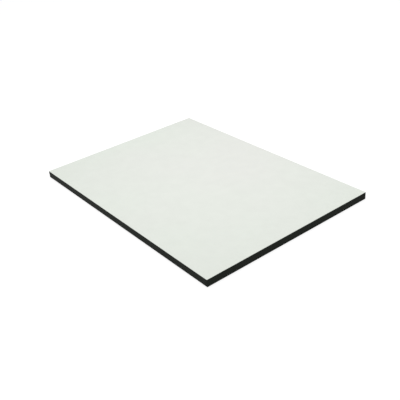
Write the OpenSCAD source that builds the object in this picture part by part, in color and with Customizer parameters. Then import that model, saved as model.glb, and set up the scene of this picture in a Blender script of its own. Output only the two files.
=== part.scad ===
// Compact laminate cladding panel, single-sided, cut to a small board.
//
// Kraft sheets soaked in phenolic resin and one melamine decor sheet are
// pressed hot into a single dense board. The dark core shows on all four
// sawn edges and on the back; the pale decor covers the weather side.
//
// Millimetres. The origin is the centre of the back, which the board lies on.
// +X runs along the long side and +Z points out of the decor.

/* [Board] */
// Long side of the board
board_length = 297; // [100:1:3050]
// Short side of the board
board_width = 210; // [80:1:1530]
// Thickness over the core and the decor
board_thickness = 8; // [4:0.5:20]

/* [Decor sheet] */
// Thickness of the decor once it is pressed onto the core
decor_thickness = 0.15; // [0.1:0.01:0.4]

/* [Eased edges] */
// Leg of the 45 degree arris along the edges of the face and of the back
arris_leg = 0.3; // [0.1:0.05:1]
// Leg of the cut that takes the sharpness off the four upright corners
corner_leg = 0.4; // [0.1:0.05:2]

/* [Hidden] */

core_thickness = board_thickness - decor_thickness;
decor_colour = [0.91, 0.92, 0.895];
core_colour = [0.14, 0.145, 0.135];

// Outline of a centred rectangle whose corners are cut off by a leg at 45 degrees
function eased_rectangle(long, short, leg) =
    let (x = long / 2, y = short / 2)
    [
        [x - leg, -y], [x, -y + leg], [x, y - leg], [x - leg, y],
        [-x + leg, y], [-x, y - leg], [-x, -y + leg], [-x + leg, -y]
    ];

// The board as the saw and the sanding block leave it: the prism of its plan,
// its cross section and its long section, and what all three have in common
module eased_board() {
    intersection() {
        linear_extrude(board_thickness)
            polygon(eased_rectangle(board_length, board_width, corner_leg));
        translate([-board_length / 2, 0, board_thickness / 2])
            rotate([90, 0, 90])
                linear_extrude(board_length)
                    polygon(eased_rectangle(board_width, board_thickness, arris_leg));
        translate([0, board_width / 2, board_thickness / 2])
            rotate([90, 0, 0])
                linear_extrude(board_width)
                    polygon(eased_rectangle(board_length, board_thickness, arris_leg));
    }
}

// One layer of the board, from the height bottom up by thickness
module board_layer(bottom, thickness) {
    intersection() {
        eased_board();
        translate([-board_length / 2, -board_width / 2, bottom])
            cube([board_length, board_width, thickness]);
    }
}

// Kraft plies under the decor, bound into one dark solid down to the plain back
module kraft_core() {
    color(core_colour) board_layer(0, core_thickness);
}

// One pigmented paper soaked in melamine resin, fused to the top of the core
module decor_sheet() {
    color(decor_colour) board_layer(core_thickness, decor_thickness);
}

kraft_core();
decor_sheet();
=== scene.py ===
import math

import bmesh
import bpy
import numpy as np
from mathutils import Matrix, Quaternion, Vector


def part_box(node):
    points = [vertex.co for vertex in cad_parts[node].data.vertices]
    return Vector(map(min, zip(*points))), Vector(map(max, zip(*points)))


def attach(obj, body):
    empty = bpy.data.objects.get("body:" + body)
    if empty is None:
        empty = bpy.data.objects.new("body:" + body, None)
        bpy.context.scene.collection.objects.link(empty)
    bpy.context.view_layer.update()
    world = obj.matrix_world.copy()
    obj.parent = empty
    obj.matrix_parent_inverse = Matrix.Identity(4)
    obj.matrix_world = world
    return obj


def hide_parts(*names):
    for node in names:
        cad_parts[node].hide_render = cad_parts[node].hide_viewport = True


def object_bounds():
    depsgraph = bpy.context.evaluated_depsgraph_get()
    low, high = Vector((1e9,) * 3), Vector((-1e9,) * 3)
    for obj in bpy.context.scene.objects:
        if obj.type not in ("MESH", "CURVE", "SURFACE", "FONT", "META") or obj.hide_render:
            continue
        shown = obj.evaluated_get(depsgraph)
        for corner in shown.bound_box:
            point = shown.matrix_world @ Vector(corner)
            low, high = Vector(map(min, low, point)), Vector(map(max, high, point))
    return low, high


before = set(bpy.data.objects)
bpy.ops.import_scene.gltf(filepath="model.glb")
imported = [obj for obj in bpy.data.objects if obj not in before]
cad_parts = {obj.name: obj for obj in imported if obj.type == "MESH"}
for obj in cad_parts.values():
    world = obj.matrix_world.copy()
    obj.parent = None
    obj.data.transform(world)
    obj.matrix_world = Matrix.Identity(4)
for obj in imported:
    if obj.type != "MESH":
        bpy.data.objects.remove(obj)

cad_low, cad_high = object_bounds()


# ----------------------------------------------------------------------------------------------
# Kraft core
# About forty kraft sheets soaked in phenolic resin and pressed hot into one dense, nearly black
# board. It is sawn to size and its edges are milled, so the ends of the sheets show as fine
# lines. The ridges along the face and the back are then eased by hand with a sanding block.
# ----------------------------------------------------------------------------------------------

core_low, core_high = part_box("kraft_core")
decor_low, decor_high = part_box("decor_sheet")
board_thickness = decor_high.z - core_low.z
decor_thickness = decor_high.z - core_high.z

ARRIS_LEG = 0.0003
ARRIS_WANDER = 0.00005  # how much wider the hand-sanded arris gets in places
RIDGE_RADIUS = 0.00008  # the softness left on both ridges of an arris
RIDGE_ROWS = 4
CORNER_RADIUS = 0.0007
CORNER_FACETS = 6
COLUMN_PITCH = 0.003  # from one column of the mesh to the next along an edge
KRAFT_SHEETS = 40
SHEET_STEP = 0.000008  # the most that the end of a sheet stands behind the next one's
JOINT_HEIGHT = 0.00004  # the height in which one sheet's end steps back to the next one's
SHEET_WANDER = 0.000012  # how far the joints between sheets wander up and down
FEWEST_WAVES = 3  # that an unevenness has round the board
MOST_WAVES = 59
WELD_REACH = 0.000001

half_long, half_short = core_high.x, core_high.y
inner_long, inner_short = half_long - CORNER_RADIUS, half_short - CORNER_RADIUS
columns_long = round(2 * half_long / COLUMN_PITCH)
columns_short = round(2 * half_short / COLUMN_PITCH)


def walk_round_board():
    """Walks once round the board, from the left end of the front edge back to it. A point of the
    outline is a point of the inner rectangle, on whose corners the corner arcs are centred, plus
    the corner radius times the direction straight out of the board. Returns the points of that
    rectangle, the directions, the distance walked, and the columns that each side takes."""
    corners = [(-inner_long, -inner_short), (inner_long, -inner_short)]
    corners += [(inner_long, inner_short), (-inner_long, inner_short)]
    arc = np.arange(1, CORNER_FACETS) / CORNER_FACETS
    rectangle, quarters, starts = [], [], [0]
    for side in range(4):
        start, end = corners[side], corners[(side + 1) % 4]
        columns = (columns_long, columns_short)[side % 2] + 1
        rectangle += [np.linspace(start, end, columns), np.tile(end, (len(arc), 1))]
        quarters += [np.full(columns, side - 1.0), side - 1.0 + arc]
        starts.append(starts[-1] + columns + len(arc))
    rectangle = np.concatenate(rectangle + [[corners[0]]])
    turn = np.concatenate(quarters + [[3.0]]) * math.pi / 2
    outward = np.stack([np.cos(turn), np.sin(turn)], axis=1)
    steps = np.linalg.norm(np.diff(rectangle + CORNER_RADIUS * outward, axis=0), axis=1)
    walked = np.concatenate([[0.0], np.cumsum(steps)])
    return rectangle, outward, walked, [slice(a, b + 1) for a, b in zip(starts, starts[1:])]


rectangle, outward, walked, sides = walk_round_board()


def unevenness(seed):
    """A slow unevenness along the walk, from 0 to 1: a sum of sine waves that each fit a whole
    number of times round the board. Their starts and weights are drawn at random, and a weight
    falls with the root of that number."""
    draw = np.random.default_rng(seed)
    waves = np.arange(FEWEST_WAVES, MOST_WAVES + 1)[:, None]
    weights = draw.normal(size=waves.shape) / np.sqrt(waves)
    starts = draw.uniform(0, 2 * math.pi, size=waves.shape)
    height = (weights * np.sin(starts + waves * walked * 2 * math.pi / walked[-1])).sum(axis=0)
    return (height - height.min()) / np.ptp(height)


def soft_ridge(inset, height, from_angle, to_angle):
    """A few rows of a profile on one arc: a row lies the ridge radius times the cosine outward
    and times the sine upward from the arc's centre. Returns their insets and heights."""
    angles = np.radians(np.linspace(from_angle, to_angle, RIDGE_ROWS))[:, None]
    return inset - RIDGE_RADIUS * np.cos(angles), height + RIDGE_RADIUS * np.sin(angles)


def carry(insets, heights, columns=slice(None)):
    """Carries rows of a profile along the walk. A point is that of the inner rectangle, plus the
    corner radius less the inset times the direction outward, lifted to the height."""
    reach = (CORNER_RADIUS - insets[:, columns])[:, :, None]
    return np.dstack([rectangle[columns] + reach * outward[columns], heights[:, columns]])


def side_by_side(*values):
    """Several values next to each other for each row and column of a grid."""
    return np.stack(np.broadcast_arrays(*values), axis=-1)


# On a skin's texture map the flat side that shows lies at the bottom. The edges lie above it as
# strips, the two long ones first, and the flat side that is glued is small, beside the short ones.
MAP_MARGIN = 0.008
MAP_SCALE = (1 - 2 * MAP_MARGIN) / (2 * half_long)
GLUED_SCALE = 0.12 * MAP_SCALE
STRIPS_BASE = 2 * MAP_MARGIN + 2 * half_short * MAP_SCALE
STRIP_ORDER = (0, 2, 1, 3)
CORE_STRIP = 0.06


def edge_grids(insets, heights, sheets_up, strip_width):
    """The rows of a profile as one grid for each side of the board. Each point holds its place,
    three marks and its place on the map. The marks are the distance walked, the height counted in
    kraft sheets, and 1 for a cut edge."""
    rows_apart = np.hypot(np.diff(insets.mean(axis=1)), np.diff(heights.mean(axis=1)))
    up_strip = np.concatenate([[0.0], np.cumsum(rows_apart)])[:, None]
    up_strip *= strip_width / up_strip.max()
    grids = []
    for strips_below, side in enumerate(STRIP_ORDER):
        columns = sides[side]
        along_strip = MAP_MARGIN + MAP_SCALE * (walked[columns] - walked[columns][0])
        strip_base = STRIPS_BASE + strips_below * (strip_width + MAP_MARGIN)
        marks = side_by_side(walked[columns], sheets_up[:, columns], 1.0)
        on_map = side_by_side(along_strip, strip_base + up_strip)
        grids.append(np.dstack([carry(insets, heights, columns), marks, on_map]))
    return grids


def flat_grids(insets, heights, side, map_corner, map_scale):
    """The face or the back as two grids: a rim from the profile's end in to the inner rectangle,
    and that rectangle. Each point holds the same as on an edge, but all its marks are 0. The rows
    of the back are turned round, so that its faces point down."""
    row, turn = (-1, 1) if side == "face" else (0, -1)
    level = heights[[row, row]]
    rim_insets = np.stack([insets[row], np.full_like(insets[row], CORNER_RADIUS)])
    rim = carry(rim_insets[::turn], level)
    x = np.linspace(-inner_long, inner_long, columns_long + 1)
    y = np.linspace(-inner_short, inner_short, columns_short + 1)[:, None]
    flat = side_by_side(x, y[::turn], level[0, 0])
    grids = []
    for points in (rim, flat):
        on_map = (points[:, :, :2] + (half_long, half_short)) * map_scale + map_corner
        grids.append(np.dstack([points, np.zeros_like(points), on_map]))
    return grids


def join_grids(name, grids):
    """Makes one piece of the grids, with a face between each four neighbours, and welds the rims
    that they share. The marks are kept at the corners of faces, because a cut edge and the flat
    rim beside it differ in them. Only the cut edges are shaded smooth."""
    faces, count = [], 0
    for grid in grids:
        number = np.arange(grid[:, :, 0].size).reshape(grid.shape[:2]) + count
        lower, upper = (number[:-1, :-1], number[:-1, 1:]), (number[1:, 1:], number[1:, :-1])
        faces.append(side_by_side(*lower, *upper).reshape(-1, 4))
        count += number.size
    faces = np.concatenate(faces)
    table = np.concatenate([grid.reshape(-1, grid.shape[2]) for grid in grids]).astype(np.float32)
    points, marks, on_map = np.split(table, [3, 6], axis=1)
    mesh = bpy.data.meshes.new(name)
    mesh.from_pydata(points, [], faces.tolist())
    mesh.polygons.foreach_set("use_smooth", marks[faces[:, 0], 2] == 1)
    kept_marks = mesh.attributes.new("cut_marks", "FLOAT_VECTOR", "CORNER")
    kept_marks.data.foreach_set("vector", marks[faces].ravel())
    mesh.uv_layers.new(name="OFBake").uv.foreach_set("vector", on_map[faces].ravel())

    weld = bmesh.new()
    weld.from_mesh(mesh)
    bmesh.ops.remove_doubles(weld, verts=weld.verts, dist=WELD_REACH)
    weld.to_mesh(mesh)
    weld.free()
    piece = bpy.data.objects.new(name, mesh)
    bpy.context.scene.collection.objects.link(piece)
    return piece


def board_skin(name, insets, heights, sheets_up, strip_width, shown_side):
    """Closes a profile carried round the board into one skin: its edges, its back and its face."""
    beside_short_strips = STRIPS_BASE + MAP_MARGIN, STRIPS_BASE + 2 * (strip_width + MAP_MARGIN)
    grids = edge_grids(insets, heights, sheets_up, strip_width)
    for side in ("back", "face"):
        if side == shown_side:
            grids += flat_grids(insets, heights, side, (MAP_MARGIN, MAP_MARGIN), MAP_SCALE)
        else:
            grids += flat_grids(insets, heights, side, beside_short_strips, GLUED_SCALE)
    return join_grids(name, grids)


plumb = np.zeros_like(walked)
back_arris = ARRIS_LEG + ARRIS_WANDER * unevenness(seed=11)
face_arris = ARRIS_LEG + ARRIS_WANDER * unevenness(seed=23)
ridge_reach = RIDGE_RADIUS * math.tan(math.radians(45 / 2))

# The joints that lie clear of both arrises each have a row just under them and one just over.
sheet_height = (core_high.z - core_low.z) / KRAFT_SHEETS
joints = np.arange(1, KRAFT_SHEETS)
arris_top = ARRIS_LEG + ARRIS_WANDER + ridge_reach + SHEET_WANDER + JOINT_HEIGHT / 2
over_back = joints * sheet_height > arris_top
under_face = board_thickness - joints * sheet_height > arris_top
joints = np.repeat(joints[over_back & under_face], 2)[:, None]
over_joint = np.arange(len(joints))[:, None] % 2
joint_wander = SHEET_WANDER * (2 * unevenness(seed=31) - 1)
joint_heights = core_low.z + joints * sheet_height + (over_joint - 0.5) * JOINT_HEIGHT
joint_heights = joint_heights + joint_wander
sheet_ends = SHEET_STEP * np.random.default_rng(5).random(KRAFT_SHEETS)
joint_insets = sheet_ends[joints - 1 + over_joint] + plumb

# From the back over its arris, up the ends of the sheets and into the arris of the face.
core_profile = [
    soft_ridge(back_arris + ridge_reach, core_low.z + RIDGE_RADIUS + plumb, -90, -45),
    soft_ridge(RIDGE_RADIUS + plumb, core_low.z + back_arris + ridge_reach, -45, 0),
    (joint_insets, joint_heights),
    soft_ridge(RIDGE_RADIUS + plumb, decor_high.z - face_arris - ridge_reach, 0, 45),
    (face_arris[None] - decor_thickness, core_high.z + plumb[None]),
]
core_insets, core_heights = (np.concatenate(rows) for rows in zip(*core_profile))
core_sheets = (core_heights - core_low.z - joint_wander) / sheet_height
sawn_core = board_skin("sawn_core", core_insets, core_heights, core_sheets, CORE_STRIP, "back")


def add_node(tree, kind, sockets, **settings):
    """Puts one node in a material. A socket is given another node's output or a plain value."""
    node = tree.nodes.new(kind)
    for name, value in settings.items():
        setattr(node, name, value)
    for name, value in sockets.items():
        if isinstance(value, bpy.types.NodeSocket):
            tree.links.new(value, node.inputs[name])
        else:
            node.inputs[name].default_value = value
    return node


def start_finish(name, piece):
    """Gives a piece a new material. Returns its node tree, its shader, the place on the piece and
    the three marks that its mesh keeps."""
    finish = bpy.data.materials.new(name)
    finish.use_nodes = True
    piece.data.materials.append(finish)
    tree = finish.node_tree
    place = add_node(tree, "ShaderNodeTexCoord", {}).outputs["Object"]
    marks = add_node(tree, "ShaderNodeAttribute", {}, attribute_name="cut_marks")
    return tree, tree.nodes["Principled BSDF"], place, marks.outputs["Vector"]


def clouds(tree, place, size, detail=2.0, start=(0, 0, 0)):
    """Noise in patches of about this size, which is one for all axes or three. The start is the
    patch that lies at the origin. Most of the noise lies between 0.3 and 0.7, and that is
    stretched to from 0 to 1."""
    scale = 1 / np.broadcast_to(size, 3)
    sockets = {"Vector": place, "Scale": scale, "Location": start}
    placed = add_node(tree, "ShaderNodeMapping", sockets)
    sockets = {"Vector": placed.outputs["Vector"], "Scale": 1.0, "Detail": detail}
    noise = add_node(tree, "ShaderNodeTexNoise", sockets)
    sockets = {"Value": noise.outputs["Fac"], "From Min": 0.3, "From Max": 0.7}
    return add_node(tree, "ShaderNodeMapRange", sockets).outputs["Result"]


def weighed(tree, *parts, start=0.0):
    """The start and several outputs, each times its weight, added up."""
    total = start
    for output, weight in parts:
        sockets = {0: output, 1: weight, 2: total}
        total = add_node(tree, "ShaderNodeMath", sockets, operation="MULTIPLY_ADD").outputs["Value"]
    return total


def between(tree, share, first, second):
    """A number that goes from the first to the second as the share goes from 0 to 1."""
    sockets = {0: share, 2: first, 3: second}
    return add_node(tree, "ShaderNodeMix", sockets, data_type="FLOAT").outputs[0]


def between_colours(tree, share, first, second):
    """A colour that goes from the first to the second as the share goes from 0 to 1."""
    sockets = {0: share, 6: first, 7: second}
    return add_node(tree, "ShaderNodeMix", sockets, data_type="RGBA").outputs[2]


def dress(tree, shader, colour, roughness, height, relief, gloss):
    """Gives the shader its colour, its roughness, its gloss and the bump of a height, of which 1
    stands as high as the relief."""
    tree.links.new(colour, shader.inputs["Base Color"])
    tree.links.new(roughness, shader.inputs["Roughness"])
    sockets = {"Height": height, "Strength": 1.0, "Distance": relief}
    bump = add_node(tree, "ShaderNodeBump", sockets)
    tree.links.new(bump.outputs["Normal"], shader.inputs["Normal"])
    shader.inputs["Specular IOR Level"].default_value = gloss


# On the milled edges each sheet has a tone of its own, bundles of sheets differ a little, and the
# cutter leaves faint upright marks. The back shows the fine lines of the calibrating sander.
# Sizes on the edges are metres along them and sheets up them; all others are metres.
EDGE_DEEP = (0.0108, 0.0125, 0.0100, 1)
EDGE_PALE = (0.0302, 0.0345, 0.0292, 1)
BACK_DEEP = (0.0180, 0.0190, 0.0168, 1)
BACK_PALE = (0.0270, 0.0283, 0.0252, 1)
BUNDLE = (0.3, 5, 1)
CUTTER_MARK = (0.0008, 50, 1)
CHATTER = (0.006, 400, 1)
SANDING_LINE = (0.03, 0.0005, 0.0005)
SMUDGE = 0.02
CORE_ROUGHNESS = 0.32
CORE_GLOSS = 0.0138
CORE_RELIEF = 0.000012

tree, shader, place, marks = start_finish("dark_phenolic", sawn_core)
split_marks = add_node(tree, "ShaderNodeSeparateXYZ", {"Vector": marks})
cut = split_marks.outputs["Z"]
whole_sheet = add_node(tree, "ShaderNodeMath", {0: split_marks.outputs["Y"]}, operation="FLOOR")
sheet_sockets = {"W": whole_sheet.outputs["Value"]}
sheet_noise = add_node(tree, "ShaderNodeTexWhiteNoise", sheet_sockets, noise_dimensions="1D")
sheet_tone = sheet_noise.outputs["Value"]
bundle_tone = clouds(tree, marks, BUNDLE)
cutter_marks = clouds(tree, marks, CUTTER_MARK, detail=3.0)
chatter = clouds(tree, marks, CHATTER, detail=1.0)
sanding = clouds(tree, place, SANDING_LINE, detail=3.0)
smudges = clouds(tree, place, SMUDGE)

edge_tone = weighed(
    tree,
    (sheet_tone, 0.3),
    (bundle_tone, 0.25),
    (cutter_marks, 0.2),
    (chatter, 0.1),
    (smudges, 0.15),
)
back_tone = weighed(tree, (sanding, 0.4), (smudges, 0.6))
edge_colour = between_colours(tree, edge_tone, EDGE_DEEP, EDGE_PALE)
back_colour = between_colours(tree, back_tone, BACK_DEEP, BACK_PALE)
core_colour = between_colours(tree, cut, back_colour, edge_colour)
edge_matt = weighed(
    tree,
    (sheet_tone, 0.06),
    (cutter_marks, 0.08),
    (smudges, 0.05),
    (chatter, 0.03),
)
back_matt = weighed(tree, (sanding, 0.08), (smudges, 0.06))
core_matt = between(tree, cut, back_matt, edge_matt)
roughness = weighed(tree, (core_matt, 1.0), start=CORE_ROUGHNESS)
height = between(tree, cut, sanding, cutter_marks)
dress(tree, shader, core_colour, roughness, height, CORE_RELIEF, CORE_GLOSS)

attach(sawn_core, "root")
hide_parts("kraft_core")


# ----------------------------------------------------------------------------------------------
# Decor sheet
# One pigmented paper soaked in melamine resin and fused to the core in the same pressing. Its
# face is a pale greyish white with the satin grain of the press plate. Its cut edge is the upper
# half of the arris, on all four sides.
# ----------------------------------------------------------------------------------------------

# The tint drifts slowly from greyer to greener, which also paints light and shade, and the paper is
# cloudy, as all paper is.
# The greener end is lighter and the greyer end darker. The drift's patches are placed so that this
# painted light falls towards the ends and the front rim of the face, evening out part of the lamp's
# falloff there.
DECOR_GREYER_PAINTED_SHADE = (0.791, 0.806, 0.763, 1)
DECOR_GREENER_PAINTED_LIGHT = (0.786, 0.836, 0.766, 1)
PAPER_CLOUD = 0.012
PAPER_SHADE = 0.026  # how much darker the paper is between its clouds
TINT_AND_LIGHT_DRIFT = 0.21
DRIFT_START = (10.5, 3.9, 0)  # the patch of the drift that lies at the origin, placed so that its painted light falls towards the ends and the front rim
SATIN_GRAIN = 0.0009
DECOR_ROUGHNESS = 0.42
DECOR_GLOSS = 0.3
DECOR_RELIEF = 0.000022
DECOR_STRIP = 0.012

upper_ridge = soft_ridge(face_arris + ridge_reach, decor_high.z - RIDGE_RADIUS + plumb, 45, 90)
decor_insets = np.concatenate([face_arris[None] - decor_thickness, upper_ridge[0]])
decor_heights = np.concatenate([decor_low.z + plumb[None], upper_ridge[1]])
top_sheet = np.full_like(decor_insets, KRAFT_SHEETS)
pressed_decor = board_skin(
    "pressed_decor", decor_insets, decor_heights, top_sheet, DECOR_STRIP, "face"
)

tree, shader, place, marks = start_finish("pale_melamine", pressed_decor)
cut = add_node(tree, "ShaderNodeSeparateXYZ", {"Vector": marks}).outputs["Z"]
paper = clouds(tree, place, PAPER_CLOUD, detail=3.0)
tint_and_light_drift = clouds(tree, place, TINT_AND_LIGHT_DRIFT, start=DRIFT_START)
satin = clouds(tree, place, SATIN_GRAIN, detail=3.0)
# Painted light and shade: the drift makes the face lighter and greener in some places, and darker
# and greyer in others.
tint_and_painted_light = between_colours(tree, tint_and_light_drift, DECOR_GREYER_PAINTED_SHADE, DECOR_GREENER_PAINTED_LIGHT)
paper_light = weighed(tree, (paper, PAPER_SHADE), start=1 - PAPER_SHADE)
decor_sockets = {"Vector": tint_and_painted_light, "Scale": paper_light}
shaded_tint = add_node(tree, "ShaderNodeVectorMath", decor_sockets, operation="SCALE")
decor_colour = shaded_tint.outputs["Vector"]
roughness = weighed(tree, (satin, 0.05), (tint_and_light_drift, 0.04), (cut, 0.2), start=DECOR_ROUGHNESS)
dress(tree, shader, decor_colour, roughness, satin, DECOR_RELIEF, DECOR_GLOSS)

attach(pressed_decor, "root")
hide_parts("decor_sheet")


# ----------------------------------------------------------------------------------------------
# Table top and sky
# The board lies flat on a plain white table top under a plain white sky. Both look pure white,
# and the light that they give the board is set apart from how they look.
# ----------------------------------------------------------------------------------------------

# What is seen of the table is mostly an even glow. Only a small share of it is lit by the lamp
# and the sky, so it is hardly brighter than white under the lamp and still keeps the shadow.
TABLE_SIZE = 8.0
TABLE_GAP = 0.0002  # keeps the board's back clear of the table's surface
TABLE_WHITE = (0.8, 0.8, 0.8, 1)  # the colour from which light reaches the board
TABLE_SEEN = (0.3, 0.3, 0.3, 1)  # the lit colour under the glow, as it is seen
TABLE_GLOW = 0.82
SKY_LIGHT = 0.6


def looked_at(tree):
    """1 for what is seen, also in a reflection or through glass, and 0 for what only lights."""
    path = add_node(tree, "ShaderNodeLightPath", {}).outputs
    seen = path["Is Camera Ray"]
    for ray in ("Is Glossy Ray", "Is Transmission Ray"):
        either = add_node(tree, "ShaderNodeMath", {0: seen, 1: path[ray]}, operation="MAXIMUM")
        seen = either.outputs["Value"]
    return seen


square = np.array([(-1, -1), (1, -1), (1, 1), (-1, 1)]) * TABLE_SIZE / 2
table_points = np.column_stack([square, np.full(4, cad_low.z - TABLE_GAP)])
table_mesh = bpy.data.meshes.new("table_top")
table_mesh.from_pydata(table_points, [], [(0, 1, 2, 3)])
table_top = bpy.data.objects.new("table_top", table_mesh)
bpy.context.scene.collection.objects.link(table_top)

white_table = bpy.data.materials.new("white_table")
white_table.use_nodes = True
table_mesh.materials.append(white_table)
tree = white_table.node_tree
shader = tree.nodes["Principled BSDF"]
seen = looked_at(tree)
tree.links.new(between_colours(tree, seen, TABLE_WHITE, TABLE_SEEN), shader.inputs["Base Color"])
tree.links.new(between(tree, seen, 0.0, TABLE_GLOW), shader.inputs["Emission Strength"])
shader.inputs["Emission Color"].default_value = (1, 1, 1, 1)
shader.inputs["Roughness"].default_value = 1.0
shader.inputs["Specular IOR Level"].default_value = 0.0

sky = bpy.data.worlds.new("white_sky")
sky.use_nodes = True
tree = sky.node_tree
background = tree.nodes["Background"]
background.inputs["Color"].default_value = (1, 1, 1, 1)
tree.links.new(between(tree, looked_at(tree), SKY_LIGHT, 1.0), background.inputs["Strength"])
scene = bpy.context.scene
scene.world = sky
scene.view_settings.view_transform = "Standard"


# ----------------------------------------------------------------------------------------------
# Soft box
# One square lamp hangs over the board, a little behind its middle. It is close enough to leave
# the four corners of the face a little darker than its middle.
# ----------------------------------------------------------------------------------------------

LAMP_PLACE = (-0.006, 0.03, 0.54)
LAMP_SIZE = 0.4
LAMP_WATTS = 1.42

lamp_light = bpy.data.lights.new("soft_box", "AREA")
lamp_light.size = LAMP_SIZE
lamp_light.energy = LAMP_WATTS
soft_box = bpy.data.objects.new("soft_box", lamp_light)
soft_box.location = LAMP_PLACE
scene.collection.objects.link(soft_box)


# ----------------------------------------------------------------------------------------------
# Camera
# It looks down across the board's front right corner from two thirds of a metre away, 30 degrees
# above the table, and is tipped a little to one side. The long front edge runs off to the left.
# ----------------------------------------------------------------------------------------------

AZIMUTH = 54.15
ELEVATION = 29.73
TIP = -5.36
DISTANCE = 0.669
AIM_PAST_MIDDLE = (0.0366, -0.0233)
LENS = 57.79

turn, rise = math.radians(AZIMUTH), math.radians(ELEVATION)
flat_way = Vector((math.sin(turn), -math.cos(turn), 0))
towards_camera = flat_way * math.cos(rise) + Vector((0, 0, math.sin(rise)))
camera_data = bpy.data.cameras.new("camera")
camera_data.lens = LENS
camera = bpy.data.objects.new("camera", camera_data)
camera.location = Vector((*AIM_PAST_MIDDLE, cad_high.z)) + towards_camera * DISTANCE
camera.rotation_mode = "QUATERNION"
tip = Quaternion((0, 0, 1), math.radians(TIP))
camera.rotation_quaternion = towards_camera.to_track_quat("Z", "Y") @ tip
scene.collection.objects.link(camera)
scene.camera = camera
